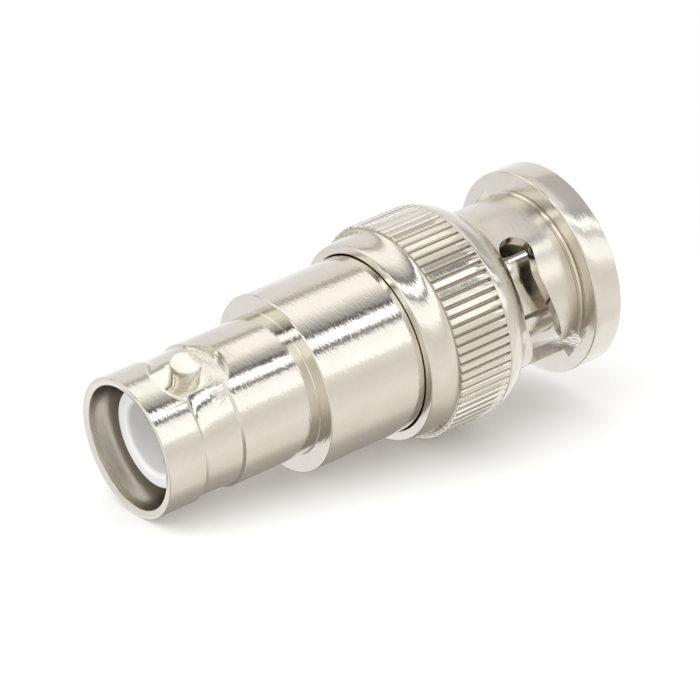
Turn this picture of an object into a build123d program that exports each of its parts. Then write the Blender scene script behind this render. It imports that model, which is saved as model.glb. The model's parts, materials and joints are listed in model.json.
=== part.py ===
"""In-line coaxial adapter: bayonet plug at one end, bayonet jack at the other.

The part stands on the plug's rim, with its axis on Z and the jack's mouth at the top. Stations are
counted down the axis from the mouth, and names that end in _at are such stations. Clock angles are
counted from +X towards -Y, which is clockwise as seen from above. All sizes are in millimetres.
"""

import os
from math import cos, pi, radians, sin

from build123d import *

# Clearances
SEAT_GAP = 0.02  # radial, between turned pieces that are pressed together
SLIP_GAP = 0.08  # radial, between pieces that turn or slide on each other
FACE_GAP = 0.05  # axial, between pieces that are stacked but not clamped
CUT_PAST = 0.12  # how far outside a surface the tool starts that cuts a groove in it

# Lengths along the axis, from the jack's mouth to the plug's rim
COLLAR_LENGTH = 2.8
WAIST_LENGTH = 3.05
JACK_TUBE_LENGTH = 5.85
JACK_STUB_LENGTH = 5.2
BARREL_LENGTH = 9.9
NUT_LAP = 2.3
NUT_REAR_LENGTH = 1.97
KNURL_LENGTH = 4.15
NUT_SHOULDER_LENGTH = 2.48
NECK_LENGTH = 5.06
RIM_LENGTH = 2.2

# Jack
COLLAR_D = 9.65
WAIST_D = 9.3
JACK_TUBE_D = 9.8
JACK_STUB_D = 9.2
MOUTH_BEVEL = 0.3
MOUTH_LAND = 1.1  # straight stretch of the mouth's bore, which then widens to the liner's seat
CONTACT_ENTRY = 0.05  # radial room that the jack's mouth leaves round a plug's outer contact
LUG_D = 1.95
LUG_SPAN = 11.0
LUG_SETBACK = 4.4
LUG_CLOCK = 0.0
SPOT_D = 4.7
SPOT_DEPTH = 0.47

# Jack liner and centre contact
LINER_SETBACK = 2.3
LINER_STEP = 0.08
LINER_WALL = 0.95
LINER_LIP = 0.4
LINER_HOLLOW = 6.7
LINER_FLOOR = 4.4
SOCKET_SETBACK = 6.0
SOCKET_D = 2.5
SOCKET_BORE_DEPTH = 4.5
SOCKET_SLIT = 0.3
SOCKET_SLIT_LENGTH = 3.2
SOCKET_TAIL = 2.6

# Barrel and what it holds
BARREL_D = 12.3
BARREL_NOSE_ROUND = 0.45
WEB_LENGTH = 0.8

# Plug body and spring-finger sleeve
HUB_D = 9.4
HUB_BORE_D = 6.8
FLANGE_D = 11.9
FLANGE_LENGTH = 0.7
SLEEVE_SEAT_DEPTH = 4.05
SLEEVE_D = 8.1
SLEEVE_WALL = 0.55
SLEEVE_FROM_RIM = 1.95
FINGERS = 6
FINGER_SLIT = 0.38
FINGER_LENGTH = 6.6
FINGER_CLOCK = 19.0

# Plug centre pin
PIN_D = 1.37
PIN_FROM_RIM = 2.6
PIN_NOSE = 0.4
SHANK_D = 1.8
PIN_SHOULDER_FROM_RIM = 9.0
PLUG_INSULATOR_FROM_RIM = 9.0

# Spring stack behind the flange, and the gasket in front of it
GASKET_D = 9.5
GASKET_LENGTH = 0.7
SPRING_HEIGHT = 1.1
SPRING_STRIP = 0.2
SPRING_WAVES = 3
SPRING_SPLIT = 6.0  # degrees of the ring left open
WASHER_LENGTH = 0.35
RING_LENGTH = 0.45
RING_SETBACK = 0.35  # from the barrel's end to the ring
RING_SEAT_DEPTH = 0.45
RING_RADIAL_WIDTH = 0.9
RING_SPLIT = 1.6

# Coupling nut
KNURL_DEPTH = 0.26
KNURL_TEETH = 72
KNURL_GROOVE_SHARE = 0.56
NUT_REAR_LIP = 0.45
NUT_REAR_GAP = 0.25
NUT_REAR_RISE = 0.33  # how far the rear cone rises from the lip to the knurl's foot
NUT_REAR_STEP = 0.06
SHOULDER_BAND_LENGTH = 1.4
SHOULDER_BAND_DROP = 0.55  # from the knurl's tops to the foot of the band in front of it
SHOULDER_STEP = 0.35
NECK_D = 11.42
RIM_D = 14.4
NUT_BORE_GAP = 0.075  # radial room between the nut's bore and a jack's collar

# Bayonet slot: a lug enters at the entry, climbs the ramp to the crest and drops in the detent
SLOT_GAP = 0.24  # room on each side of a lug
SLOT_ENTRY_CLOCK = 111.0
SLOT_CREST_CLOCK = 40.0
SLOT_DETENT_CLOCK = 22.0
NUT_PULL_UP = 0.35  # how far a seated jack holds the nut forward
DETENT_DEPTH = 0.44
RAMP_RISE = 1.74
ENTRY_GROOVE_HEIGHT = 6.2  # from the axis to the flat top of the groove that a lug enters by

# Stations worked out from the lengths above
waist_at = COLLAR_LENGTH
jack_tube_at = waist_at + WAIST_LENGTH
barrel_at = jack_tube_at + JACK_TUBE_LENGTH
jack_end_at = barrel_at + JACK_STUB_LENGTH
web_at = jack_end_at + FACE_GAP
web_end_at = web_at + WEB_LENGTH
barrel_end_at = barrel_at + BARREL_LENGTH
nut_at = barrel_end_at - NUT_LAP
knurl_at = nut_at + NUT_REAR_LENGTH
knurl_end_at = knurl_at + KNURL_LENGTH
neck_at = knurl_end_at + NUT_SHOULDER_LENGTH
rim_back_at = neck_at + NECK_LENGTH
rim_at = rim_back_at + RIM_LENGTH
ring_at = barrel_end_at + RING_SETBACK
washer_at = ring_at + RING_LENGTH
flange_back_at = washer_at + WASHER_LENGTH + SPRING_HEIGHT
flange_at = flange_back_at + FLANGE_LENGTH
sleeve_at = flange_at - SLEEVE_SEAT_DEPTH
sleeve_end_at = rim_at - SLEEVE_FROM_RIM
liner_at = LINER_SETBACK
liner_floor_at = liner_at + LINER_HOLLOW
liner_end_at = liner_floor_at + LINER_FLOOR
bead_at = liner_end_at + FACE_GAP
shank_at = bead_at + SOCKET_TAIL / 2
socket_end_at = bead_at + SOCKET_TAIL

# Radii worked out from the sizes above
collar_r = COLLAR_D / 2
nut_bore_r = collar_r + NUT_BORE_GAP
mouth_bore_r = SLEEVE_D / 2 + CONTACT_ENTRY
liner_r = mouth_bore_r + LINER_STEP
barrel_r = BARREL_D / 2
stub_r = JACK_STUB_D / 2
hub_r = HUB_D / 2
flange_r = FLANGE_D / 2
chamber_r = flange_r + SLIP_GAP
rear_bore_r = barrel_r + NUT_REAR_GAP
rear_lip_r = rear_bore_r + NUT_REAR_LIP
rear_cone_r = rear_lip_r + NUT_REAR_RISE
knurl_root_r = rear_cone_r + NUT_REAR_STEP
knurl_r = knurl_root_r + KNURL_DEPTH
sleeve_r = SLEEVE_D / 2
sleeve_bore_r = sleeve_r - SLEEVE_WALL
shank_r = SHANK_D / 2
slot_width = LUG_D + 2 * SLOT_GAP


def on_axis(at):
    """Point on the axis at a station."""
    return Vector(0, 0, rim_at - at)


def outward(clock):
    """Unit vector that points away from the axis at a clock angle."""
    return Vector(cos(radians(clock)), -sin(radians(clock)), 0)


def facing_plane(at, clock, r=0.0):
    """Plane that faces straight out at a clock angle, with its x axis pointing down the part."""
    return Plane(origin=on_axis(at) + outward(clock) * r, x_dir=(0, 0, -1), z_dir=outward(clock))


def end_plane(at, clock=0.0):
    """Plane across the axis that faces down, with its x axis pointing out at a clock angle."""
    return Plane(origin=on_axis(at), x_dir=outward(clock), z_dir=(0, 0, -1))


# Sections of turned pieces are drawn here as (station, radius)
section_plane = Plane(origin=on_axis(0), x_dir=(0, 0, -1), z_dir=(0, -1, 0))


def ring_section(top_at, foot_at, r_in, r_out):
    """Section of a plain ring between two stations and two radii."""
    with BuildSketch(section_plane) as section:
        with BuildLine():
            Polyline((top_at, r_in), (top_at, r_out), (foot_at, r_out), (foot_at, r_in), close=True)
        make_face()
    return section.sketch


# Jack shell: mouth collar, waist, tube and the stub that enters the barrel, then the lugs
with BuildPart() as jack_shell:
    with BuildSketch(section_plane):
        with BuildLine():
            Polyline(
                (0, mouth_bore_r + MOUTH_BEVEL),
                (0, collar_r),
                (waist_at, collar_r),
                (waist_at, WAIST_D / 2),
                (jack_tube_at, WAIST_D / 2),
                (jack_tube_at, JACK_TUBE_D / 2),
                (barrel_at, JACK_TUBE_D / 2),
                (barrel_at, stub_r),
                (jack_end_at, stub_r),
                (jack_end_at, liner_r + SEAT_GAP),
                (liner_at, liner_r + SEAT_GAP),
                (2 * MOUTH_BEVEL + MOUTH_LAND, mouth_bore_r),
                (2 * MOUTH_BEVEL, mouth_bore_r),
                close=True,
            )
        make_face()
    revolve(axis=Axis.Z)
    spot_r = collar_r - SPOT_DEPTH
    for side in (LUG_CLOCK, LUG_CLOCK + 180):
        with BuildSketch(facing_plane(LUG_SETBACK, side, spot_r)):
            Circle(SPOT_D / 2)
        extrude(amount=collar_r, mode=Mode.SUBTRACT)
        with BuildSketch(facing_plane(LUG_SETBACK, side, spot_r)):
            Circle(LUG_D / 2)
        extrude(amount=LUG_SPAN / 2 - spot_r)
jack_shell.part.label = "jack_shell"

# Jack liner: a hollow plastic tube with a soft mouth and a floor that holds the socket
with BuildPart() as jack_insulator:
    hollow_r = liner_r - LINER_WALL
    with BuildSketch(section_plane):
        with BuildLine():
            Polyline(
                (liner_at + LINER_LIP, hollow_r),
                (liner_floor_at, hollow_r),
                (liner_floor_at, SOCKET_D / 2 + SEAT_GAP),
                (liner_end_at, SOCKET_D / 2 + SEAT_GAP),
                (liner_end_at, liner_r),
                (liner_at, liner_r),
                (liner_at, hollow_r + LINER_LIP),
                close=True,
            )
        make_face()
    revolve(axis=Axis.Z)
jack_insulator.part.label = "jack_insulator"

# Jack contact: a slotted socket, bored at the back for the plug pin's shank
with BuildPart() as jack_contact:
    pin_bore_r = PIN_D / 2 + SEAT_GAP
    socket_r = SOCKET_D / 2
    with BuildSketch(section_plane):
        with BuildLine():
            Polyline(
                (SOCKET_SETBACK, pin_bore_r),
                (SOCKET_SETBACK, socket_r),
                (socket_end_at, socket_r),
                (socket_end_at, shank_r + SEAT_GAP),
                (shank_at - FACE_GAP, shank_r + SEAT_GAP),
                (shank_at - FACE_GAP, 0),
                (SOCKET_SETBACK + SOCKET_BORE_DEPTH, 0),
                (SOCKET_SETBACK + SOCKET_BORE_DEPTH, pin_bore_r),
                close=True,
            )
        make_face()
    revolve(axis=Axis.Z)
    with BuildSketch(end_plane(SOCKET_SETBACK)):
        Rectangle(2 * SOCKET_D, SOCKET_SLIT)
        Rectangle(SOCKET_SLIT, 2 * SOCKET_D)
    extrude(amount=SOCKET_SLIT_LENGTH, mode=Mode.SUBTRACT)
jack_contact.part.label = "jack_contact"

# Barrel: a thick sleeve with a bore for the jack's stub, a web, and a bore for the plug's hub
with BuildPart() as barrel:
    nose = BARREL_NOSE_ROUND
    with BuildSketch(section_plane):
        with BuildLine():
            Polyline(
                (barrel_at + nose, barrel_r),
                (barrel_end_at, barrel_r),
                (barrel_end_at, hub_r + SEAT_GAP),
                (web_end_at, hub_r + SEAT_GAP),
                (web_end_at, HUB_BORE_D / 2),
                (web_at, HUB_BORE_D / 2),
                (web_at, stub_r + SEAT_GAP),
                (barrel_at, stub_r + SEAT_GAP),
                (barrel_at, barrel_r - nose),
                close=True,
            )
        make_face()
    revolve(axis=Axis.Z)
barrel.part.label = "barrel"

# Centre insulator: the bead that carries the back of the jack's contact
with BuildPart() as centre_insulator:
    revolve(ring_section(bead_at, jack_end_at, socket_r + SEAT_GAP, liner_r), axis=Axis.Z)
centre_insulator.part.label = "centre_insulator"

# Plug body: a flanged hub, bored for the spring-finger sleeve at the front
with BuildPart() as plug_body:
    with BuildSketch(section_plane):
        with BuildLine():
            Polyline(
                (web_end_at, HUB_BORE_D / 2),
                (web_end_at, hub_r),
                (flange_back_at, hub_r),
                (flange_back_at, flange_r),
                (flange_at, flange_r),
                (flange_at, sleeve_r + SEAT_GAP),
                (sleeve_at, sleeve_r + SEAT_GAP),
                (sleeve_at, HUB_BORE_D / 2),
                close=True,
            )
        make_face()
    revolve(axis=Axis.Z)
plug_body.part.label = "plug_body"

# Outer contact: a thin sleeve, slit into spring fingers
with BuildPart() as outer_contact:
    with BuildSketch(section_plane):
        with BuildLine():
            Polyline(
                (sleeve_at, sleeve_bore_r),
                (sleeve_at, sleeve_r),
                (sleeve_end_at, sleeve_r),
                (sleeve_end_at, sleeve_bore_r),
                close=True,
            )
        make_face()
    revolve(axis=Axis.Z)
    with BuildSketch(end_plane(sleeve_end_at, FINGER_CLOCK)):
        with PolarLocations(sleeve_r, FINGERS):
            Rectangle(3 * SLEEVE_WALL, FINGER_SLIT)
    extrude(amount=-FINGER_LENGTH, mode=Mode.SUBTRACT)
outer_contact.part.label = "outer_contact"

# Plug insulator: the bush that carries the pin
with BuildPart() as plug_insulator:
    bush_r = min(HUB_BORE_D / 2, sleeve_bore_r) - SEAT_GAP
    revolve(ring_section(web_at, rim_at - PLUG_INSULATOR_FROM_RIM, shank_r + SEAT_GAP, bush_r), axis=Axis.Z)
plug_insulator.part.label = "plug_insulator"

# Plug pin: a blunt-nosed contact on a thicker shank that ends in the jack's contact
with BuildPart() as plug_pin:
    pin_r = PIN_D / 2
    pin_tip_at = rim_at - PIN_FROM_RIM
    pin_shoulder_at = rim_at - PIN_SHOULDER_FROM_RIM
    with BuildSketch(section_plane):
        with BuildLine():
            Polyline(
                (pin_tip_at, 0),
                (shank_at, 0),
                (shank_at, shank_r),
                (pin_shoulder_at, shank_r),
                (pin_shoulder_at, pin_r),
                (pin_tip_at - PIN_NOSE, pin_r),
                (pin_tip_at, pin_r - PIN_NOSE),
                close=True,
            )
        make_face()
    revolve(axis=Axis.Z)
plug_pin.part.label = "plug_pin"

# Face gasket at the foot of the outer contact
with BuildPart() as face_gasket:
    revolve(ring_section(flange_at, flange_at + GASKET_LENGTH, sleeve_r + SEAT_GAP, GASKET_D / 2), axis=Axis.Z)
face_gasket.part.label = "face_gasket"

# Wave washer: a split flat strip that rises and falls round the hub, behind the flange
with BuildPart() as wave_washer:
    swing = (SPRING_HEIGHT - SPRING_STRIP) / 2 - FACE_GAP
    middle_at = flange_back_at - SPRING_HEIGHT / 2
    stations = 4 * SPRING_WAVES
    # The strip is straight between its stations, so its inner edge comes nearer to the hub there
    strip_in_r = (hub_r + SLIP_GAP) / cos(pi / stations)
    strip_r = (strip_in_r + flange_r) / 2
    for i in range(stations + 1):
        clock = SPRING_SPLIT / 2 + i * (360 - SPRING_SPLIT) / stations
        strip_at = middle_at + swing * cos(radians(SPRING_WAVES * clock))
        centre = on_axis(strip_at) + outward(clock) * strip_r
        with BuildSketch(Plane(centre, x_dir=outward(clock), z_dir=outward(clock + 90))):
            Rectangle(flange_r - strip_in_r, SPRING_STRIP)
    loft(ruled=True)
wave_washer.part.label = "wave_washer"

# Thrust washer behind the spring
with BuildPart() as thrust_washer:
    revolve(ring_section(washer_at, washer_at + WASHER_LENGTH, hub_r + SLIP_GAP, flange_r), axis=Axis.Z)
thrust_washer.part.label = "thrust_washer"

# Retaining ring: split, sprung into the groove in the nut's bore
with BuildPart() as retaining_ring:
    ring_r = chamber_r + RING_SEAT_DEPTH - SLIP_GAP
    revolve(ring_section(ring_at, washer_at, ring_r - RING_RADIAL_WIDTH, ring_r), axis=Axis.Z)
    with BuildSketch(end_plane(ring_at)):
        with Locations((-ring_r, 0)):
            Rectangle(3 * RING_RADIAL_WIDTH, RING_SPLIT)
    extrude(amount=RING_LENGTH, mode=Mode.SUBTRACT)
retaining_ring.part.label = "retaining_ring"


def nut_section():
    """Section of the coupling nut: rear cone, bed of the knurl, shoulder, neck and rim."""
    neck_r = NECK_D / 2
    rim_r = RIM_D / 2
    with BuildSketch(section_plane) as section:
        with BuildLine():
            Polyline(
                # Outside, from the rear lip to the rim
                (nut_at, rear_lip_r),
                (knurl_at, rear_cone_r),
                (knurl_end_at, rear_cone_r),
                (knurl_end_at + SHOULDER_BAND_LENGTH, knurl_r - SHOULDER_BAND_DROP),
                (neck_at, neck_r + SHOULDER_STEP),
                (neck_at, neck_r),
                (rim_back_at, neck_r),
                (rim_back_at, rim_r),
                (rim_at, rim_r),
                # Inside, from the rim's mouth back to the rear lip
                (rim_at, nut_bore_r),
                (flange_at, nut_bore_r),
                (flange_at, chamber_r),
                (washer_at, chamber_r),
                (washer_at, chamber_r + RING_SEAT_DEPTH),
                (ring_at, chamber_r + RING_SEAT_DEPTH),
                (ring_at, chamber_r),
                (barrel_end_at + RING_SETBACK / 2, chamber_r),
                (barrel_end_at + RING_SETBACK / 2, rear_bore_r),
                (nut_at, rear_bore_r),
                close=True,
            )
        make_face()
    return section.sketch


def ramp_path(from_at, to_at, clock_from, clock_to):
    """Line on the nut's bore that winds down from one station and clock angle to another."""
    climb = Helix(
        pitch=(to_at - from_at) * 360 / abs(clock_to - clock_from),
        height=to_at - from_at,
        radius=nut_bore_r,
        center=on_axis(from_at),
        direction=(0, 0, -1),
        lefthand=clock_to < clock_from,
        mode=Mode.PRIVATE,
    )
    # A helix that winds down starts at clock angle 180
    return climb.rotate(Axis.Z, 180 - clock_from)


# Coupling nut: one turned and milled piece with a straight knurl and two bayonet slots
detent_at = flange_at + GASKET_LENGTH + LUG_SETBACK - NUT_PULL_UP
crest_at = detent_at - DETENT_DEPTH
entry_at = crest_at + RAMP_RISE
with BuildPart() as coupling_nut:
    revolve(nut_section(), axis=Axis.Z)
    # Knurl: a band of flat-topped teeth with straight V grooves between them
    tooth_pitch = 2 * pi * knurl_r / KNURL_TEETH
    groove_top_r = knurl_r + CUT_PAST
    groove_half = tooth_pitch * KNURL_GROOVE_SHARE / 2 * (1 + CUT_PAST / KNURL_DEPTH)
    with BuildSketch(end_plane(knurl_at)):
        with BuildLine():
            Polyline(
                (knurl_root_r, 0), (groove_top_r, groove_half), (groove_top_r, -groove_half),
                close=True,
            )
        groove = make_face(mode=Mode.PRIVATE)
        RegularPolygon(radius=knurl_r, side_count=KNURL_TEETH)
        with PolarLocations(0, KNURL_TEETH):
            add(groove, mode=Mode.SUBTRACT)
        Circle(rear_cone_r, mode=Mode.SUBTRACT)
    extrude(amount=KNURL_LENGTH)
    for turned in (0, 180):
        # Entry groove: closed in by the rim, open along the neck as far back as the foot of the ramp
        entry = SLOT_ENTRY_CLOCK + turned
        with BuildSketch(end_plane(rim_at, entry)):
            with Locations((ENTRY_GROOVE_HEIGHT / 2, 0)):
                Rectangle(ENTRY_GROOVE_HEIGHT, slot_width)
        extrude(amount=entry_at - rim_at, mode=Mode.SUBTRACT)
        # Ramp from the crest to the entry, then the short fall into the detent, both cut wide enough
        # to clear the shoulder where they touch it
        crest = SLOT_CREST_CLOCK + turned
        detent = SLOT_DETENT_CLOCK + turned
        for path in (
            ramp_path(crest_at, entry_at, crest, entry),
            ramp_path(crest_at, detent_at, crest, detent),
        ):
            with BuildSketch(Plane(path @ 0, x_dir=outward(crest), z_dir=path % 0)):
                Rectangle(2 * (knurl_r - nut_bore_r), slot_width)
            sweep(path=path, is_frenet=True, mode=Mode.SUBTRACT)
        # Round ends and corners left by the cutter
        for end_at, clock in ((crest_at, crest), (detent_at, detent), (entry_at, entry)):
            with BuildSketch(facing_plane(end_at, clock)):
                Circle(slot_width / 2)
            extrude(amount=knurl_r, mode=Mode.SUBTRACT)
coupling_nut.part.label = "coupling_nut"

# One STEP file for each physical piece
os.makedirs("parts", exist_ok=True)
for piece in (
    jack_shell, jack_insulator, jack_contact, barrel, centre_insulator, plug_body, outer_contact,
    plug_insulator, plug_pin, face_gasket, wave_washer, thrust_washer, retaining_ring, coupling_nut,
):
    export_step(piece.part, f"parts/{piece.part.label}.step")
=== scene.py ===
import json
from math import cos, pi, radians, sin, tan

import bmesh
import bpy
import numpy as np
from mathutils import Matrix, Vector


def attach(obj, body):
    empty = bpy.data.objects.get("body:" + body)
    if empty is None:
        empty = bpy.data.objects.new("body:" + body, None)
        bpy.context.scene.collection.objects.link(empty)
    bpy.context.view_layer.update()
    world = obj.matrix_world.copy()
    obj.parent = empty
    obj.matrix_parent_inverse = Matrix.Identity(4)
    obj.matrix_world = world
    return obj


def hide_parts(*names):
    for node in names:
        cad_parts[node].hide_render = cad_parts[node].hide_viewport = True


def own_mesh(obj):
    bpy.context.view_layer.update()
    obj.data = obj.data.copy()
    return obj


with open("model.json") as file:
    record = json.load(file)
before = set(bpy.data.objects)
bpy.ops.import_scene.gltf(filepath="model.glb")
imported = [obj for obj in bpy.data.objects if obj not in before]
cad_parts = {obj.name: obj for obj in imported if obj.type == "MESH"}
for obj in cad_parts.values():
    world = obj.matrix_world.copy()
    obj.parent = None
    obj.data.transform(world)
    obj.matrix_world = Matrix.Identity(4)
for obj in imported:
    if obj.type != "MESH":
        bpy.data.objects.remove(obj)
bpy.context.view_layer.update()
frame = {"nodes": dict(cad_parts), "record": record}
nodes = frame["nodes"]
scene = bpy.context.scene

# Shapes are drawn in millimetres, as (station, radius), with stations counted down from the jack's mouth.
# Clock angles are counted from +X towards -Y. Those of the part as it lies in the photo are LYING_TURN more.
RIM_AT = 35.16
MM = 0.001
MICROMETRE = 0.000001
LYING_TURN = 21
OPPOSITE = (0, 180)
SHARP_DEG = 32
WELD = 1e-5


# Shapes

def outward(clock):
    """Unit vector away from the axis at a clock angle."""
    return Vector((cos(radians(clock)), -sin(radians(clock)), 0))


def on_axis(station):
    """Point of the axis at a station."""
    return Vector((0, 0, RIM_AT - station))


def points(*pairs):
    """Outline points as vectors."""
    return [Vector(pair) for pair in pairs]


def straight(radius, *stations):
    """Outline points at one radius."""
    return [Vector((station, radius)) for station in stations]


def rounded(corners, steps=6, support=0.06):
    """Closed outline with arcs at its corners. A corner is (station, radius) or (station, radius, round).

    Where there is room, a point at each side of an arc keeps the long faces evenly shaded.
    """
    most_of_edge = 0.49
    line = []
    for i, corner in enumerate(corners):
        here = Vector(corner[:2])
        if len(corner) < 3:
            line.append(here)
            continue
        before = Vector(corners[i - 1][:2]) - here
        after = Vector(corners[(i + 1) % len(corners)][:2]) - here
        half = before.angle(after) / 2
        reach = min(corner[2] / tan(half), before.length * most_of_edge, after.length * most_of_edge)
        size = reach * tan(half)
        centre = here + (before.normalized() + after.normalized()).normalized() * (size / sin(half))
        start = here + before.normalized() * reach
        end = here + after.normalized() * reach
        if before.length > reach + 3 * support:
            line.append(start + before.normalized() * support)
        for k in range(steps + 1):
            arm = (start - centre).lerp(end - centre, k / steps)
            line.append(centre + arm.normalized() * size)
        if after.length > reach + 3 * support:
            line.append(end + after.normalized() * support)
    return line


def side_faces(rings, columns, closed=False):
    """Faces between neighbouring rings of points, and from the last ring to the first where closed."""
    faces = []
    for i in range(rings if closed else rings - 1):
        j = (i + 1) % rings
        for k in range(columns):
            n = (k + 1) % columns
            faces.append((i * columns + k, i * columns + n, j * columns + n, j * columns + k))
    return faces


def end_faces(rings, columns):
    """One face on the first ring of points and one on the last."""
    last = (rings - 1) * columns
    return [tuple(range(columns)), tuple(range(last, last + columns))]


def add_object(name, data):
    """Object that holds some data, in the scene."""
    thing = bpy.data.objects.new(name, data)
    scene.collection.objects.link(thing)
    return thing


def mesh_object(name, verts, faces):
    """Mesh object from points in millimetres."""
    mesh = bpy.data.meshes.new(name)
    mesh.from_pydata([tuple(v) for v in verts], [], faces)
    welded = bmesh.new()
    welded.from_mesh(mesh)
    bmesh.ops.remove_doubles(welded, verts=welded.verts, dist=WELD)
    bmesh.ops.recalc_face_normals(welded, faces=welded.faces)
    welded.to_mesh(mesh)
    welded.free()
    return add_object(name, mesh)


def lathe(name, outline, clocks=None, radius_at=None):
    """Turned piece from a closed outline, with a row of points at each clock angle."""
    clocks = np.arange(0, 360, 1.0) if clocks is None else clocks
    verts = []
    for station, radius in outline:
        for clock in clocks:
            here = radius if radius_at is None else radius_at(station, radius, clock)
            verts.append(outward(clock) * here + on_axis(station))
    return mesh_object(name, verts, side_faces(len(outline), len(clocks), closed=True))


def radial_frame(station, clock):
    """Matrix whose Z points outward at a clock angle and whose X points down the part."""
    out = outward(clock)
    down = Vector((0, 0, -1))
    place = Matrix((down, out.cross(down), out)).transposed().to_4x4()
    place.translation = on_axis(station)
    return place


def turned_pin(name, station, clock, outline, sides=96):
    """Solid turned about a radial line, from (height from the axis, radius) points."""
    place = radial_frame(station, clock)
    verts = []
    for height, radius in outline:
        for k in range(sides):
            turn = 2 * pi * k / sides
            verts.append(place @ Vector((radius * cos(turn), radius * sin(turn), height)))
    rings = len(outline)
    return mesh_object(name, verts, side_faces(rings, sides) + end_faces(rings, sides))


def prism(name, rings):
    """Closed solid between rings that all have the same number of points."""
    verts = [point for ring in rings for point in ring]
    sides = len(rings[0])
    return mesh_object(name, verts, end_faces(len(rings), sides) + side_faces(len(rings), sides))


def radial_block(name, clock, stations, half_width, heights):
    """Block at a clock angle, between two stations and two heights from the axis."""
    place = radial_frame(0, clock)
    start, end = stations
    corners = ((start, -half_width), (end, -half_width), (end, half_width), (start, half_width))
    return prism(name, [[place @ Vector((x, y, height)) for x, y in corners] for height in heights])


def carve(piece, tool, operation="DIFFERENCE"):
    """Cuts a tool from a piece, or joins it on, and throws the tool away."""
    step = piece.modifiers.new("carve", "BOOLEAN")
    step.operation = operation
    step.solver = "EXACT"
    step.object = tool
    bpy.context.view_layer.update()
    seen = piece.evaluated_get(bpy.context.evaluated_depsgraph_get())
    result = bpy.data.meshes.new_from_object(seen)
    piece.modifiers.clear()
    piece.data = result
    bpy.data.objects.remove(tool)


def join(piece, other):
    """Adds another mesh to a piece without welding them."""
    both = bmesh.new()
    both.from_mesh(piece.data)
    both.from_mesh(other.data)
    both.to_mesh(piece.data)
    both.free()
    bpy.data.objects.remove(other)


def finish_piece(piece, body, slot, replaced):
    """Scales a piece to metres, shades it, gives it its finish and ties it to the frame."""
    piece.data.transform(Matrix.Scale(MM, 4))
    piece.data.polygons.foreach_set("use_smooth", [True] * len(piece.data.polygons))
    piece.data.set_sharp_from_angle(angle=radians(SHARP_DEG))
    piece.data.update()
    piece.data.materials.clear()
    piece.data.materials.append(finishes[slot])
    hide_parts(replaced)
    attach(piece, body)


# Materials

class Graph:
    """Short calls for building the nodes of a material or of the world."""

    def __init__(self, owner):
        owner.use_nodes = True
        self.tree = owner.node_tree
        self.tree.nodes.clear()

    def add(self, kind, **settings):
        node = self.tree.nodes.new(kind)
        for key, value in settings.items():
            setattr(node, key, value)
        return node

    def link(self, source, target):
        self.tree.links.new(source, target)

    def put(self, socket, value):
        """Links a socket to another one, or gives it a plain value."""
        if isinstance(value, bpy.types.NodeSocket):
            self.link(value, socket)
        else:
            socket.default_value = value

    def math(self, operation, a, b=0.0):
        node = self.add("ShaderNodeMath", operation=operation)
        self.put(node.inputs[0], a)
        self.put(node.inputs[1], b)
        return node.outputs[0]

    def total(self, value, *others):
        for other in others:
            value = self.math("ADD", value, other)
        return value

    def product(self, value, *others):
        for other in others:
            value = self.math("MULTIPLY", value, other)
        return value

    def hypotenuse(self, a, b):
        return self.math("SQRT", self.total(self.product(a, a), self.product(b, b)))

    def combine(self, x=0.0, y=0.0, z=0.0):
        node = self.add("ShaderNodeCombineXYZ")
        for socket, value in zip(node.inputs, (x, y, z)):
            self.put(socket, value)
        return node.outputs[0]

    def parts(self, vector):
        """X, Y and Z of a vector."""
        node = self.add("ShaderNodeSeparateXYZ")
        self.link(vector, node.inputs[0])
        return node.outputs

    def scaled(self, vector, factor):
        node = self.add("ShaderNodeVectorMath", operation="SCALE")
        self.link(vector, node.inputs[0])
        node.inputs["Scale"].default_value = factor
        return node.outputs[0]

    def noise(self, vector, scale, detail=2.0, rough=0.5):
        node = self.add("ShaderNodeTexNoise")
        self.put(node.inputs["Vector"], vector)
        node.inputs["Scale"].default_value = scale
        node.inputs["Detail"].default_value = detail
        node.inputs["Roughness"].default_value = rough
        return node.outputs[0]

    def span(self, value, low, high, to_low=0.0, to_high=1.0):
        """Value stretched from one range to another and held at its ends."""
        node = self.add("ShaderNodeMapRange")
        self.put(node.inputs["Value"], value)
        node.inputs["From Min"].default_value = low
        node.inputs["From Max"].default_value = high
        node.inputs["To Min"].default_value = to_low
        node.inputs["To Max"].default_value = to_high
        return node.outputs[0]

    def fall(self, value, low, high):
        """1 below the low value and 0 above the high one."""
        return self.span(value, low, high, 1.0, 0.0)

    def blend(self, factor, a, b):
        node = self.add("ShaderNodeMix", data_type="RGBA")
        self.put(node.inputs[0], factor)
        self.put(node.inputs[6], a)
        self.put(node.inputs[7], b)
        return node.outputs[2]

    def bump(self, height, unit, normal=None):
        """Normal that follows a height counted in units of some metres."""
        node = self.add("ShaderNodeBump")
        node.inputs["Strength"].default_value = 1.0
        node.inputs["Distance"].default_value = unit
        self.link(height, node.inputs["Height"])
        if normal is not None:
            self.link(normal, node.inputs["Normal"])
        return node.outputs[0]

    def finish(self, surface, kind="ShaderNodeOutputMaterial"):
        self.link(surface, self.add(kind).inputs[0])


def new_material(name):
    """Material and its empty graph."""
    material = bpy.data.materials.new(name)
    return material, Graph(material)


def rgb(red, green, blue):
    """Linear colour with full alpha."""
    return (red, green, blue, 1.0)


def millimetres(graph):
    """Object coordinates in millimetres, with the distance from the axis, the clock angle and the height."""
    place = graph.scaled(graph.add("ShaderNodeTexCoord").outputs["Object"], 1 / MM)
    x, y, z = graph.parts(place)
    return place, graph.hypotenuse(x, y), graph.math("ARCTAN2", y, x), z


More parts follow.
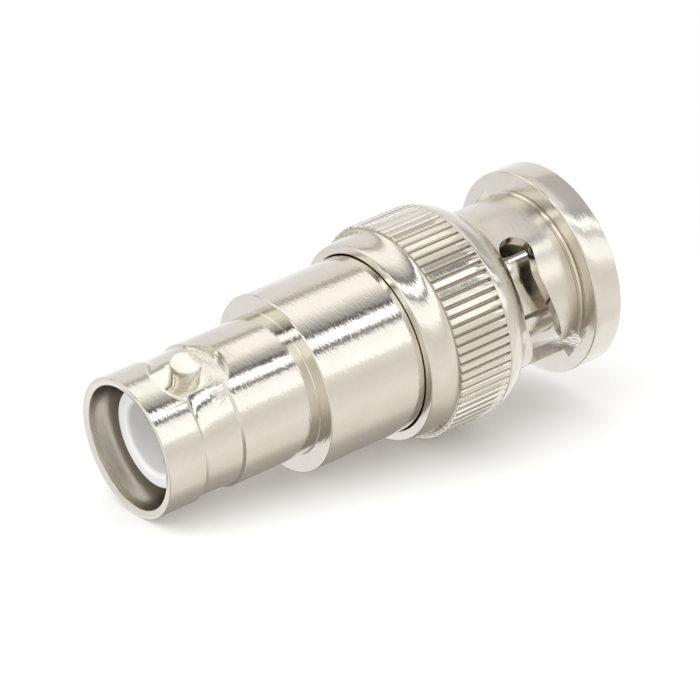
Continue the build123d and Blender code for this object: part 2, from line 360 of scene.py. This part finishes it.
def ring_zone(graph, across, z, radii, heights):
    """Mask of the surface between two radii and two heights."""
    soft = 0.02
    return graph.product(
        graph.span(across, radii[0] - soft, radii[0]), graph.fall(across, radii[1], radii[1] + soft),
        graph.span(z, heights[0] - soft, heights[0]), graph.fall(z, heights[1], heights[1] + soft),
    )


LUG_AT, LUG_CLOCK = 4.12, -1.5
SPECK = (0.14, 0.12, 0.09)


def spot_marks(graph, place, z):
    """Arcs that the milling cutter left round each lug, and a mask of the rough side of the spot face."""
    x, y, _ = graph.parts(place)
    away = graph.math("SUBTRACT", RIM_AT - LUG_AT, z)
    reach = graph.hypotenuse(y, away)
    turn = graph.math("ARCTAN2", y, away)
    spread = graph.combine(graph.product(reach, 4.5), graph.product(turn, 1.6))
    arcs = graph.noise(spread, scale=1.0, detail=3.0, rough=0.7)
    on_flat = graph.fall(graph.math("ABSOLUTE", x), low=4.47, high=4.50)
    near = graph.fall(reach, low=2.84, high=2.86)
    rough_side = graph.span(away, low=0.45, high=1.0)
    return arcs, graph.product(on_flat, near, rough_side)


def plated(name, base, shade, rough, fine_um, ring_um, peel_um, specks, zones=(), spot_face=False):
    """Plated turned metal: rings left by the tool, a slightly uneven plate, specks and rubbed spots.

    A zone has a range of radii and of heights, how much duller the plate is there, and a colour
    blended in with its share: a satin tint on the neck and rim, painted shade in the bore, grooves, gap and
    slits.
    """
    material, graph = new_material(name)
    place, across, clock, z = millimetres(graph)
    # Turning lines run round the axis, so they vary only along it, or by radius on a face square to it
    rings = graph.total(z, graph.product(across, 0.83))
    fine = graph.noise(graph.combine(rings), scale=34.0, detail=3.0, rough=0.7)
    coarse = graph.noise(graph.combine(rings, 0.3), scale=7.0, detail=2.0, rough=0.6)
    # Uneven plate: short dashes along the turning lines
    arc = graph.product(clock, across)
    stretched = graph.combine(graph.product(rings, 6.0), graph.product(arc, 2.0), across)
    dashes = graph.noise(stretched, scale=1.0, detail=2.0, rough=0.6)
    cloud = graph.noise(place, scale=0.55, detail=3.0, rough=0.55)
    grain = graph.noise(place, scale=7.5, detail=2.0, rough=0.6)
    dots = graph.add("ShaderNodeTexVoronoi", feature="F1")
    graph.link(place, dots.inputs["Vector"])
    dots.inputs["Scale"].default_value = 0.45
    speck = graph.span(dots.outputs["Distance"], low=0.009, high=0.016, to_low=specks, to_high=0.0)
    tone = graph.span(graph.total(cloud, graph.product(grain, 0.35)), low=0.5, high=0.95)
    tint = graph.blend(tone, rgb(*base), rgb(*shade))
    tint = graph.blend(speck, tint, rgb(*SPECK))
    rubbed = graph.total(graph.product(cloud, 0.6), graph.product(fine, 0.4))
    worn = graph.span(rubbed, low=0.3, high=0.75)
    roughness = graph.total(graph.product(worn, rough * 0.9), rough * 0.55)
    height = graph.total(
        graph.product(fine, fine_um), graph.product(coarse, ring_um), graph.product(dashes, peel_um),
        graph.product(grain, peel_um * 0.25),
    )
    height = graph.math("SUBTRACT", height, speck)
    for zone in zones:
        mask = ring_zone(graph, across, z, zone["radii"], zone["heights"])
        roughness = graph.total(roughness, graph.product(mask, zone["duller"]))
        # The zone's colour: a satin tint, or painted shade that darkens a hollow
        tint = graph.blend(graph.product(mask, zone["share"]), tint, rgb(*zone["tint_and_painted_shade"]))
    if spot_face:
        cutter_um, cutter_rough = 45.0, 0.08
        arcs, mask = spot_marks(graph, place, z)
        height = graph.total(height, graph.product(arcs, mask, cutter_um))
        roughness = graph.total(roughness, graph.product(mask, cutter_rough))
    edge = graph.add("ShaderNodeBevel", samples=4)
    edge.inputs["Radius"].default_value = 40 * MICROMETRE
    shader = graph.add("ShaderNodeBsdfPrincipled")
    shader.inputs["Metallic"].default_value = 1.0
    graph.link(tint, shader.inputs["Base Color"])
    graph.link(roughness, shader.inputs["Roughness"])
    graph.link(graph.bump(height, MICROMETRE, edge.outputs[0]), shader.inputs["Normal"])
    graph.finish(shader.outputs[0])
    return material


def moulded(name, base, shade, rough, glow):
    """Waxy plastic or rubber: soft colour change, fine grain and a little light carried inside."""
    material, graph = new_material(name)
    place, across, _, z = millimetres(graph)
    cloud = graph.noise(place, scale=0.8, detail=3.0, rough=0.5)
    grain = graph.noise(place, scale=22.0, detail=2.0, rough=0.6)
    rings = graph.noise(graph.combine(z, across), scale=11.0, detail=2.0, rough=0.5)
    tint = graph.blend(graph.span(cloud, low=0.35, high=0.7), rgb(*base), rgb(*shade))
    roughness = graph.span(grain, low=0.3, high=0.7, to_low=rough * 0.85, to_high=rough * 1.15)
    height = graph.total(grain, graph.product(rings, 0.6))
    shader = graph.add("ShaderNodeBsdfPrincipled")
    shader.inputs["Subsurface Weight"].default_value = glow
    shader.inputs["Subsurface Radius"].default_value = (0.0012, 0.0011, 0.001)
    shader.inputs["Subsurface Scale"].default_value = 1.0
    graph.link(tint, shader.inputs["Base Color"])
    graph.link(roughness, shader.inputs["Roughness"])
    graph.link(graph.bump(height, 4 * MICROMETRE), shader.inputs["Normal"])
    graph.finish(shader.outputs[0])
    return material


NICKEL, NICKEL_SHADE = (0.80, 0.765, 0.695), (0.765, 0.73, 0.655)
# Painted shade: the jack's bore inside the mouth is tinted a darker brownish grey, and its plate is duller
JACK_BORE = dict(radii=(3.9, 4.285), heights=(26.8, 35.02), duller=0.14, tint_and_painted_shade=(0.55, 0.50, 0.42), share=0.5)
# Painted shade: the two fine grooves of the neck's double line are tinted dark brown
RIM_GROOVE = dict(radii=(5.60, 5.69), heights=(2.32, 2.56), duller=0.1, tint_and_painted_shade=(0.42, 0.31, 0.17), share=0.7)
NECK = dict(radii=(5.69, 5.72), heights=(2.6, 7.1), duller=0.12, tint_and_painted_shade=(0.78, 0.74, 0.67), share=0.4)
RIM = dict(radii=(7.15, 7.3), heights=(0.0, 2.3), duller=0.08, tint_and_painted_shade=(0.79, 0.75, 0.68), share=0.4)
# Painted shade: the bore behind the nut's rear lip, in the gap at the barrel, is tinted dark brown
LIP_BORE = dict(radii=(6.1, 6.30), heights=(13.3, 15.84), duller=0.2, tint_and_painted_shade=(0.40, 0.30, 0.18), share=0.8)
# Painted shade: the knurl's grooves are tinted darker
TOOTH_GAPS = dict(radii=(7.20, 7.36), heights=(9.74, 13.89), duller=0.1, tint_and_painted_shade=(0.42, 0.38, 0.31), share=0.6)
# Painted shade: the finger sleeve's slit walls and bore, deep inside the nut, are tinted near black-brown
SLIT_WALLS = dict(radii=(3.3, 4.02), heights=(1.9, 8.6), duller=0.25, tint_and_painted_shade=(0.30, 0.24, 0.16), share=0.85)

finishes = {
    "jack_nickel": plated(
        "jack_nickel", NICKEL, NICKEL_SHADE, rough=0.10, fine_um=0.35, ring_um=3.0, peel_um=9.5, specks=0.8,
        zones=[JACK_BORE], spot_face=True,
    ),
    "barrel_nickel": plated(
        "barrel_nickel", NICKEL, NICKEL_SHADE, rough=0.10, fine_um=0.35, ring_um=3.0, peel_um=10.0,
        specks=0.8,
    ),
    "nut_nickel": plated(
        "nut_nickel", (0.79, 0.755, 0.685), (0.74, 0.705, 0.63), rough=0.14, fine_um=0.9, ring_um=6.5,
        peel_um=10.0, specks=0.8, zones=[RIM_GROOVE, NECK, RIM, LIP_BORE, TOOTH_GAPS],
    ),
    "finger_nickel": plated(
        "finger_nickel", (0.76, 0.72, 0.65), (0.70, 0.66, 0.58), rough=0.16, fine_um=0.9, ring_um=3.0,
        peel_um=8.0, specks=0.6, zones=[SLIT_WALLS],
    ),
    "inner_nickel": plated(
        "inner_nickel", (0.72, 0.69, 0.62), (0.66, 0.62, 0.55), rough=0.22, fine_um=0.9, ring_um=1.6,
        peel_um=2.0, specks=0.4,
    ),
    "gold_contact": plated(
        "gold_contact", (0.83, 0.60, 0.22), (0.77, 0.54, 0.19), rough=0.16, fine_um=0.7, ring_um=1.2,
        peel_um=1.5, specks=0.3,
    ),
    "washer_brass": plated(
        "washer_brass", (0.66, 0.49, 0.22), (0.58, 0.42, 0.18), rough=0.30, fine_um=0.9, ring_um=1.6,
        peel_um=2.0, specks=0.5,
    ),
    "spring_steel": plated(
        "spring_steel", (0.46, 0.45, 0.43), (0.40, 0.38, 0.35), rough=0.26, fine_um=0.7, ring_um=1.2,
        peel_um=2.0, specks=0.5,
    ),
    "white_liner": moulded("white_liner", (0.90, 0.90, 0.90), (0.87, 0.87, 0.87), rough=0.38, glow=0.12),
    "inner_plastic": moulded("inner_plastic", (0.83, 0.83, 0.80), (0.78, 0.78, 0.74), rough=0.42, glow=0.10),
    "gasket_rubber": moulded("gasket_rubber", (0.36, 0.06, 0.035), (0.30, 0.05, 0.03), rough=0.55, glow=0.0),
}


# Jack shell

COLLAR_R, TUBE_R, JACK_BORE_R = 4.825, 4.90, 4.10
SPIGOT_R, SPIGOT_BORE_R, SPIGOT_AT, SPIGOT_END_AT = 4.60, 4.22, 11.72, 16.88
FLAT_R, SPOT_AT, SPOT_R, PAST_TUBE_R = 4.385, 4.37, 2.6, 8.0
LUG_FOOT_R, LUG_R, LUG_TOP, LINE_HEIGHT = 1.0, 1.015, 5.5, 0.43
LINER_SEAT_AT = 8.40


def jack_shell():
    """Jack tube with its mouth collar, coved waist, round spot faces and two lugs."""
    mouth = [(0.00, 4.60, 0.04), (0.00, COLLAR_R, 0.07), (2.80, COLLAR_R, 0.05)]
    waist = [(2.95, 4.745), (3.10, 4.69), (3.30, 4.665), (3.80, 4.655), (4.60, 4.665), (5.20, 4.69)]
    tube = [(5.72, 4.73, 0.03), (5.86, TUBE_R, 0.05), (SPIGOT_AT, TUBE_R), (SPIGOT_AT, SPIGOT_R)]
    inside = [
        (SPIGOT_END_AT, SPIGOT_R), (SPIGOT_END_AT, SPIGOT_BORE_R), (LINER_SEAT_AT, SPIGOT_BORE_R),
        (LINER_SEAT_AT, JACK_BORE_R), (0.90, JACK_BORE_R), (0.11, 4.27, 0.03),
    ]
    shell = lathe("jack_shell_turned", rounded(mouth + waist + tube + inside))
    # A fine line runs round the lug, a little above the flat that it stands on
    line_at = FLAT_R + LINE_HEIGHT
    lug_outline = [
        (FLAT_R - 0.1, LUG_FOOT_R), (line_at, LUG_FOOT_R), (line_at + 0.015, 0.985), (line_at + 0.03, LUG_R),
        (5.45, LUG_R), (5.48, 1.005), (5.495, 0.98), (LUG_TOP, 0.95),
    ]
    spot_outline = [(FLAT_R, SPOT_R), (PAST_TUBE_R, SPOT_R)]
    for side in OPPOSITE:
        clock = side + LUG_CLOCK
        carve(shell, turned_pin("spot_tool", SPOT_AT, clock, spot_outline, sides=160))
        carve(shell, turned_pin("lug", LUG_AT, clock, lug_outline), "UNION")
    finish_piece(shell, "adapter", "jack_nickel", "jack_shell")


jack_shell()

# Liner

LINER_AT, LINER_FLOOR_AT, LINER_END_AT = 1.75, 9.00, 13.40
LINER_R, LINER_FOOT_R, LINER_HOLLOW_R, CONTACT_HOLE_R = 3.40, 4.20, 2.45, 1.27

liner = lathe("liner_moulded", rounded([
    (LINER_AT, LINER_HOLLOW_R, 0.30), (LINER_AT, LINER_R, 0.12), (LINER_SEAT_AT, LINER_R),
    (LINER_SEAT_AT, LINER_FOOT_R), (LINER_END_AT, LINER_FOOT_R), (LINER_END_AT, CONTACT_HOLE_R),
    (LINER_FLOOR_AT, CONTACT_HOLE_R, 0.1), (LINER_FLOOR_AT, LINER_HOLLOW_R, 0.35),
], steps=9))
finish_piece(liner, "adapter", "white_liner", "jack_insulator")

# Barrel

BARREL_AT, BARREL_END_AT, BARREL_R = 11.70, 21.60, 6.15
JACK_SOCKET_R, WEB_AT, WEB_END_AT, WEB_BORE_R, PLUG_SOCKET_R = 4.63, 16.95, 17.75, 3.40, 4.72

barrel = lathe("barrel_turned", rounded([
    (11.62, JACK_SOCKET_R), (11.62, 4.895), (11.64, 4.92), (BARREL_AT, 4.97), (BARREL_AT, BARREL_R, 0.09),
    (BARREL_END_AT, BARREL_R, 0.08), (BARREL_END_AT, PLUG_SOCKET_R), (WEB_END_AT, PLUG_SOCKET_R),
    (WEB_END_AT, WEB_BORE_R), (WEB_AT, WEB_BORE_R), (WEB_AT, JACK_SOCKET_R),
]))
finish_piece(barrel, "adapter", "barrel_nickel", "barrel")

# Coupling nut

TEETH = 72
KNURL_FROM, KNURL_TO, KNURL_R, ROOT_R = 21.27, 25.42, 7.50, 7.24
KNURL_FOOT_R, EDGE_DROP = 7.2, 0.015
# Half widths as shares of the pitch: a tooth's top, its worn edges, and where its flanks reach the root
TOP_SHARE, EDGE_SHARE, FLOOR_SHARE = 0.27, 0.295, 0.465
LIP_BORE_R, CHAMBER_R, RING_GROOVE_R = 6.23, 6.05, 6.48
NECK_R, LINE_R, NECK_BORE_R, RIM_R = 5.71, 5.67, 4.90, 7.20
SHOULDER_INNER_R = 6.60


def tooth_clocks():
    """Clock angles of the points along the knurl, ten for each tooth."""
    flank = (EDGE_SHARE + FLOOR_SHARE) / 2
    tooth = (-EDGE_SHARE, -TOP_SHARE, 0.0, TOP_SHARE, EDGE_SHARE)
    gap = (flank, FLOOR_SHARE, 0.5, 1 - FLOOR_SHARE, 1 - flank)
    return np.array([(t + share) * 360 / TEETH for t in range(TEETH) for share in tooth + gap])


def tooth_r(clock):
    """Radius of the knurl at a clock angle: broad flat-topped teeth with narrow V grooves between them."""
    share = abs((clock * TEETH / 360 + 0.5) % 1.0 - 0.5)
    if share <= TOP_SHARE:
        return KNURL_R
    edge_r = KNURL_R - EDGE_DROP
    if share <= EDGE_SHARE:
        return edge_r
    return ROOT_R + (edge_r - ROOT_R) * max(0.0, (FLOOR_SHARE - share) / (FLOOR_SHARE - EDGE_SHARE))


def knurl_radius(station, radius, clock):
    """The lathe's radius, cut down to the knurl's grooves along the band."""
    slack = 0.001
    if radius > KNURL_FOOT_R and KNURL_FROM - slack <= station <= KNURL_TO + slack:
        return min(radius, tooth_r(clock))
    return radius


def nut_rear():
    """Rear lip, cone and knurl, with the chamber and the snap ring's groove inside."""
    lip = points(
        (19.36, LIP_BORE_R), (19.32, 6.24), (19.30, 6.27), (19.30, 6.79), (19.31, 6.825), (19.34, 6.85),
    )
    cone = points(
        (19.40, 6.87), (19.55, 6.90), (19.75, 6.935), (20.00, 6.965), (20.30, 6.99), (20.60, 7.015),
        (20.85, 7.045), (21.05, 7.085), (21.18, 7.13), (21.24, 7.165), (21.262, 7.19), (21.271, 7.22),
    )
    knurl = points((21.28, 7.40), (21.295, 7.46)) + straight(KNURL_R, 21.33, 22.4, 23.4, 24.4, 25.36)
    inside = points((25.41, 7.485), (KNURL_TO, SHOULDER_INNER_R)) + straight(CHAMBER_R, 24.58, 22.40)
    ring_groove = straight(RING_GROOVE_R, 22.40, 21.95)
    back = straight(CHAMBER_R, 21.95, 21.78) + straight(LIP_BORE_R, 21.78)
    return lathe("nut_turned", lip + cone + knurl + inside + ring_groove + back, tooth_clocks(), knurl_radius)


def nut_front():
    """Shoulder, neck with a double line, and rim, before the slots are cut."""
    shoulder = points(
        (KNURL_TO, SHOULDER_INNER_R), (KNURL_TO, 7.44), (25.44, 7.475), (25.48, 7.485), (25.70, 7.44),
        (26.00, 7.35), (26.30, 7.235), (26.60, 7.09), (26.82, 6.95), (27.05, 6.79), (27.30, 6.59),
        (27.55, 6.37), (27.75, 6.18), (27.86, 6.07), (27.91, 5.99), (27.94, 5.88), (27.97, 5.78),
        (28.02, 5.725),
    )
    neck = straight(NECK_R, 28.10, 29.0, 30.0, 31.0, 32.0, 32.58)
    lines = points(
        (32.61, 5.705), (32.63, LINE_R), (32.67, LINE_R), (32.69, 5.705), (32.72, NECK_R), (32.75, 5.705),
        (32.77, LINE_R), (32.81, LINE_R), (32.84, 5.70), (32.91, 5.74), (32.96, 5.81),
    )
    rim = (
        points((32.96, 7.05), (32.98, 7.13), (33.03, 7.18)) + straight(RIM_R, 33.08, 33.8, 34.5, 35.04)
        + points((35.09, 7.19), (35.13, 7.15), (35.15, 7.10), (RIM_AT, 7.04), (RIM_AT, 5.18))
    )
    inside = (
        points((35.14, 5.13), (34.95, 4.94)) + straight(NECK_BORE_R, 34.90, 24.55)
        + straight(CHAMBER_R, 24.55)
    )
    return lathe("nut_front", shoulder + neck + lines + rim + inside, np.arange(0, 360, 0.8))


SLOT_R, GAUGE_R, SLOT_CUT = 1.215, 5.7, (4.4, 7.6)
ENTRY_CLOCK, ENTRY_AT, ENTRY_CUT, PAST_RIM_AT = 111.0, 30.60, (4.2, 6.2), 36.0
# From the detent over the crest to the entry, as (clock angle, station)
SLOT_PATH = ((22.0, 29.30), (40.0, 28.84), (62.0, 29.20), (96.0, 30.28), (ENTRY_CLOCK, ENTRY_AT))
PATH_STEPS, SMOOTHINGS, CAP_STEPS = 24, 60, 20


def slot_centre():
    """Middle line of the bayonet slot on the unrolled neck, as (arc, station), rounded at the crest."""
    ends = [Vector((radians(clock) * GAUGE_R, station)) for clock, station in SLOT_PATH]
    line = []
    for start, end in zip(ends, ends[1:]):
        for k in range(PATH_STEPS):
            line.append(start.lerp(end, k / PATH_STEPS))
    line.append(ends[-1])
    for _ in range(SMOOTHINGS):
        middle = [(line[i - 1] + 2 * line[i] + line[i + 1]) / 4 for i in range(1, len(line) - 1)]
        line = [line[0]] + middle + [line[-1]]
    return line


def beside(ahead):
    """Direction square to another on the unrolled neck."""
    return Vector((-ahead.y, ahead.x))


def slot_ring(radius, turned):
    """Outline of the slot at one radius, round-ended at the detent and at the entry."""
    line = slot_centre()
    left, right = [], []
    for i, here in enumerate(line):
        ahead = (line[min(i + 1, len(line) - 1)] - line[max(i - 1, 0)]).normalized()
        left.append(here + beside(ahead) * SLOT_R)
        right.append(here - beside(ahead) * SLOT_R)
    caps = []
    turns = [pi * k / CAP_STEPS for k in range(1, CAP_STEPS)]
    for here, other in ((line[-1], line[-2]), (line[0], line[1])):
        ahead = (here - other).normalized()
        caps.append([here + (beside(ahead) * cos(a) + ahead * sin(a)) * SLOT_R for a in turns])
    ring = []
    for point in left + caps[0] + right[::-1] + caps[1]:
        clock = point.x / GAUGE_R * 180 / pi + turned
        ring.append(outward(clock) * radius + on_axis(point.y))
    return ring


def coupling_nut():
    """Knurled nut with two bayonet slots, each with an entry groove from the rim."""
    nut = nut_rear()
    front = nut_front()
    for turned in OPPOSITE:
        carve(front, prism("slot_tool", [slot_ring(radius, turned) for radius in SLOT_CUT]))
        stations = (ENTRY_AT, PAST_RIM_AT)
        carve(front, radial_block("groove_tool", ENTRY_CLOCK + turned, stations, SLOT_R, ENTRY_CUT))
    join(nut, front)
    finish_piece(nut, "nut", "nut_nickel", "coupling_nut")


coupling_nut()

# Spring-finger sleeve

SLEEVE_AT, SLEEVE_END_AT, SLEEVE_R, SLEEVE_LIP_R, SLEEVE_BORE_R = 20.52, 33.21, 4.05, 4.10, 3.50
SLITS, FIRST_SLIT_CLOCK, SLIT_STATIONS, SLIT_CUT, HALF_SLIT = 6, 19, (26.61, 34.0), (3.0, 4.6), 0.19

sleeve = lathe("sleeve_turned", rounded([
    (SLEEVE_AT, SLEEVE_BORE_R), (SLEEVE_AT, SLEEVE_R), (32.36, SLEEVE_R, 0.05), (32.42, SLEEVE_LIP_R, 0.05),
    (33.02, SLEEVE_LIP_R, 0.1), (SLEEVE_END_AT, 3.95, 0.08), (SLEEVE_END_AT, SLEEVE_BORE_R, 0.05),
]))
for k in range(SLITS):
    clock = FIRST_SLIT_CLOCK + k * 360 / SLITS
    carve(sleeve, radial_block("slit_tool", clock, SLIT_STATIONS, HALF_SLIT, SLIT_CUT))
finish_piece(sleeve, "adapter", "finger_nickel", "outer_contact")

# Pin

SHANK_R, PIN_R = 0.90, 0.685

pin = lathe("pin_turned", points(
    (14.75, 0.02), (14.75, 0.88), (14.78, SHANK_R), (26.10, SHANK_R), (26.14, 0.88), (26.16, 0.84),
    (26.16, 0.72), (26.20, PIN_R), (31.90, PIN_R), (32.05, 0.672), (32.2, 0.635), (32.33, 0.57),
    (32.44, 0.47), (32.51, 0.34), (32.55, 0.18), (32.56, 0.02),
), np.arange(0, 360, 4.0))
finish_piece(pin, "adapter", "gold_contact", "plug_pin")

# Pieces carried from the CAD

slots = {part["node"]: part["material_slot"] for part in frame["record"]["subparts"]}
for name, carried in nodes.items():
    for index in range(len(carried.material_slots)):
        carried.material_slots[index].material = finishes[slots[name]]

# Wavy spring

# The real spring flattens against the flange as the nut is pulled; a piece of the same shape stands for the
# node
spring = add_object("wave_spring", nodes["wave_washer"].data.copy())
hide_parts("wave_washer")
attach(spring, "adapter")
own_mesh(spring)


# Stage

# The photo's floor touches the collar and the knurl on one side of the part, so here it stands beside the
# part as a pale screen
floor_side = outward(180 - LYING_TURN)
collar_touch = floor_side * COLLAR_R + on_axis(0)
knurl_touch = floor_side * KNURL_R + on_axis(KNURL_FROM)
touch = (collar_touch + knurl_touch) / 2 * MM
along = (knurl_touch - collar_touch).normalized()
across = along.cross(floor_side).normalized()
up = along.cross(across)


def paper():
    """White paper to the eye, greyer to other rays, that fades out far from the part and from behind."""
    material, graph = new_material("paper")
    spread = graph.add("ShaderNodeTexCoord").outputs["Object"]
    distance = graph.add("ShaderNodeVectorMath", operation="LENGTH")
    graph.link(spread, distance.inputs[0])
    fade = graph.span(distance.outputs["Value"], low=0.03, high=0.055)
    behind = graph.add("ShaderNodeNewGeometry").outputs["Backfacing"]
    mottle = graph.noise(spread, scale=900.0, detail=2.0, rough=0.5)
    pale = graph.blend(mottle, rgb(1.06, 1.06, 1.06), rgb(1.10, 1.10, 1.09))
    seen_by_eye = graph.add("ShaderNodeLightPath").outputs["Is Camera Ray"]
    lit = graph.add("ShaderNodeBsdfDiffuse")
    graph.link(graph.blend(seen_by_eye, rgb(0.60, 0.60, 0.60), pale), lit.inputs["Color"])
    clear = graph.add("ShaderNodeBsdfTransparent")
    mixed = graph.add("ShaderNodeMixShader")
    graph.link(graph.math("MAXIMUM", fade, behind), mixed.inputs[0])
    graph.link(lit.outputs[0], mixed.inputs[1])
    graph.link(clear.outputs[0], mixed.inputs[2])
    graph.finish(mixed.outputs[0])
    return material


def screen():
    """The floor, just clear of the part."""
    half, gap = 0.06, 0.00002
    mesh = bpy.data.meshes.new("floor")
    corners = [(-half, -half, 0), (half, -half, 0), (half, half, 0), (-half, half, 0)]
    mesh.from_pydata(corners, [], [(0, 1, 2, 3)])
    mesh.materials.append(paper())
    floor = add_object("floor", mesh)
    place = Matrix((along, across, up)).transposed().to_4x4()
    place.translation = touch - up * gap
    floor.matrix_world = place
    floor.visible_glossy = False


screen()

# Light

# Soft panels and darker gaps of a light tent, at clock angles round the lying part
PEAK = 1.9
BANDS = (
    (-180, (0.49, 0.47, 0.42)), (-166, (0.42, 0.40, 0.37)), (-150, (0.36, 0.35, 0.32)),
    (-127, (0.31, 0.30, 0.28)), (-121, (1.06, 1.05, 1.05)), (-98, (0.99, 1.00, 1.02)),
    (-78, (0.87, 0.86, 0.88)), (-58, (0.88, 0.86, 0.85)), (-45, (0.83, 0.80, 0.76)),
    (-40, (0.44, 0.42, 0.39)), (-35, (0.62, 0.59, 0.54)), (-29, (1.19, 1.19, 1.17)),
    (-8, (1.22, 1.21, 1.16)), (1, (0.93, 0.91, 0.88)), (11, (0.52, 0.52, 0.50)),
    (17, (0.43, 0.43, 0.44)), (21, (0.06, 0.06, 0.08)), (25, (0.10, 0.10, 0.12)),
    (28, (1.9, 1.9, 1.9)), (38, (1.9, 1.9, 1.9)), (41, (0.06, 0.06, 0.07)),
    (45, (0.14, 0.14, 0.15)), (49, (1.20, 1.21, 1.22)), (74, (1.34, 1.35, 1.34)),
    (79, (0.93, 0.91, 0.86)), (92, (0.80, 0.78, 0.74)), (125, (0.96, 0.94, 0.90)),
    (152, (0.86, 0.83, 0.77)), (162, (0.79, 0.76, 0.69)), (171, (0.61, 0.59, 0.53)),
)


def tent_colour(graph, x, y, z):
    """Colour of the tent in a direction. Its bands slant, so that turning lines fray their reflections."""
    slant = graph.product(graph.total(z, 0.5), 0.10)
    angle = graph.math("ARCTAN2", graph.product(y, -1.0), x)
    turned_by = graph.total(graph.math("DIVIDE", angle, 2 * pi), 0.5 + LYING_TURN / 360)
    ramp = graph.add("ShaderNodeValToRGB")
    graph.link(graph.math("FRACT", graph.total(turned_by, slant)), ramp.inputs[0])
    stops = ramp.color_ramp.elements
    while len(stops) > 1:
        stops.remove(stops[-1])
    # A ramp holds no colour above 1, so it is written as a share of the peak
    stops[0].position = 0.0
    stops[0].color = rgb(*(c / PEAK for c in BANDS[0][1]))
    for clock, colour in BANDS[1:] + ((180, BANDS[0][1]),):
        stop = stops.new((clock + 180) / 360)
        stop.color = rgb(*(c / PEAK for c in colour))
    return graph.scaled(ramp.outputs[0], PEAK)


def light_tent():
    """World: the tent in the metal, an even light from the mouth's side on matt pieces, white to the eye."""
    world = bpy.data.worlds.new("tent")
    scene.world = world
    graph = Graph(world)
    direction = graph.add("ShaderNodeTexCoord").outputs["Generated"]
    x, y, z = graph.parts(direction)
    top = graph.span(z, low=0.80, high=0.97)
    bottom = graph.fall(z, low=-0.97, high=-0.86)
    sides = graph.blend(top, tent_colour(graph, x, y, z), rgb(0.93, 0.92, 0.90))
    sides = graph.blend(bottom, sides, rgb(0.70, 0.68, 0.63))
    toward_mouth = graph.add("ShaderNodeVectorMath", operation="DOT_PRODUCT")
    graph.link(direction, toward_mouth.inputs[0])
    toward_mouth.inputs[1].default_value = (0.36 * up - 0.93 * along).normalized()
    open_side = graph.span(toward_mouth.outputs["Value"], low=0.45, high=0.9)
    even = graph.blend(open_side, rgb(0.86, 0.86, 0.86), rgb(1.9, 1.9, 1.9))
    path = graph.add("ShaderNodeLightPath")
    soft = graph.blend(path.outputs["Is Diffuse Ray"], sides, even)
    seen = graph.blend(path.outputs["Is Camera Ray"], soft, rgb(1, 1, 1))
    sky = graph.add("ShaderNodeBackground")
    graph.link(seen, sky.inputs["Color"])
    graph.finish(sky.outputs[0], "ShaderNodeOutputWorld")


CARD_R, CARD_COLUMNS = 15.0, 24


def card(name, clocks, stations, change, near, far):
    """Curved card that only the metal above it mirrors, in one shade near the mouth and one further down.

    Its clock angles are those of the lying part, and its shade changes between the two stations of change.
    """
    ring = [outward(clock - LYING_TURN) * CARD_R for clock in np.linspace(*clocks, CARD_COLUMNS)]
    verts = [(point + on_axis(station)) * MM for station in stations for point in ring]
    faces = [(k, k + 1, CARD_COLUMNS + k + 1, CARD_COLUMNS + k) for k in range(CARD_COLUMNS - 1)]
    mesh = bpy.data.meshes.new(name)
    mesh.from_pydata(verts, [], faces)
    material, graph = new_material(name)
    height = millimetres(graph)[3]
    passed = graph.fall(height, RIM_AT - change[1], RIM_AT - change[0])
    glow = graph.add("ShaderNodeEmission")
    graph.link(graph.blend(passed, rgb(*near), rgb(*far)), glow.inputs["Color"])
    graph.finish(glow.outputs[0])
    mesh.materials.append(material)
    sheet = add_object(name, mesh)
    sheet.visible_camera = False
    sheet.visible_diffuse = False
    sheet.visible_transmission = False
    sheet.visible_shadow = False


def overhead_lamp():
    """Square soft lamp above the lying part, which leaves no shape of its own in the metal."""
    distance, watts = 0.25, 0.05
    data = bpy.data.lights.new("over", "AREA")
    data.shape = "SQUARE"
    data.size = 0.16
    data.energy = watts
    lamp = add_object("over", data)
    lamp.location = on_axis(RIM_AT / 2) * MM + up * distance
    lamp.rotation_euler = up.to_track_quat("Z", "Y").to_euler()
    lamp.visible_glossy = False


light_tent()
card("card_rim", (-21, 24), (31.8, 58.0), (36.4, 38.8), near=(0.90, 0.89, 0.87), far=(0.54, 0.53, 0.52))
card("card_floor", (128, 202), (31.8, 58.0), (36.4, 38.8), near=(1.00, 0.99, 0.97), far=(1.04, 1.04, 1.03))
card("card_lug", (-21, 4), (8.2, 12.9), (11.0, 11.7), near=(1.42, 1.42, 1.38), far=(0.80, 0.80, 0.78))
overhead_lamp()

# Camera

# Its right, up and back directions and its place were fitted to the photo
CAMERA_AT = (0.1771, -0.1345, 0.1465)
CAMERA_AXES = ((0.1233, -0.5984, -0.7917), (0.7147, 0.6071, -0.3474), (0.6885, -0.5230, 0.5025))

camera_data = bpy.data.cameras.new("camera")
camera_data.lens = 201.9
camera_data.sensor_width = 36
camera_data.clip_start = 0.01
camera = add_object("camera", camera_data)
pose = Matrix(CAMERA_AXES).transposed().to_quaternion().normalized().to_matrix().to_4x4()
pose.translation = Vector(CAMERA_AT)
camera.matrix_world = pose
scene.camera = camera
scene.view_settings.view_transform = "Standard"
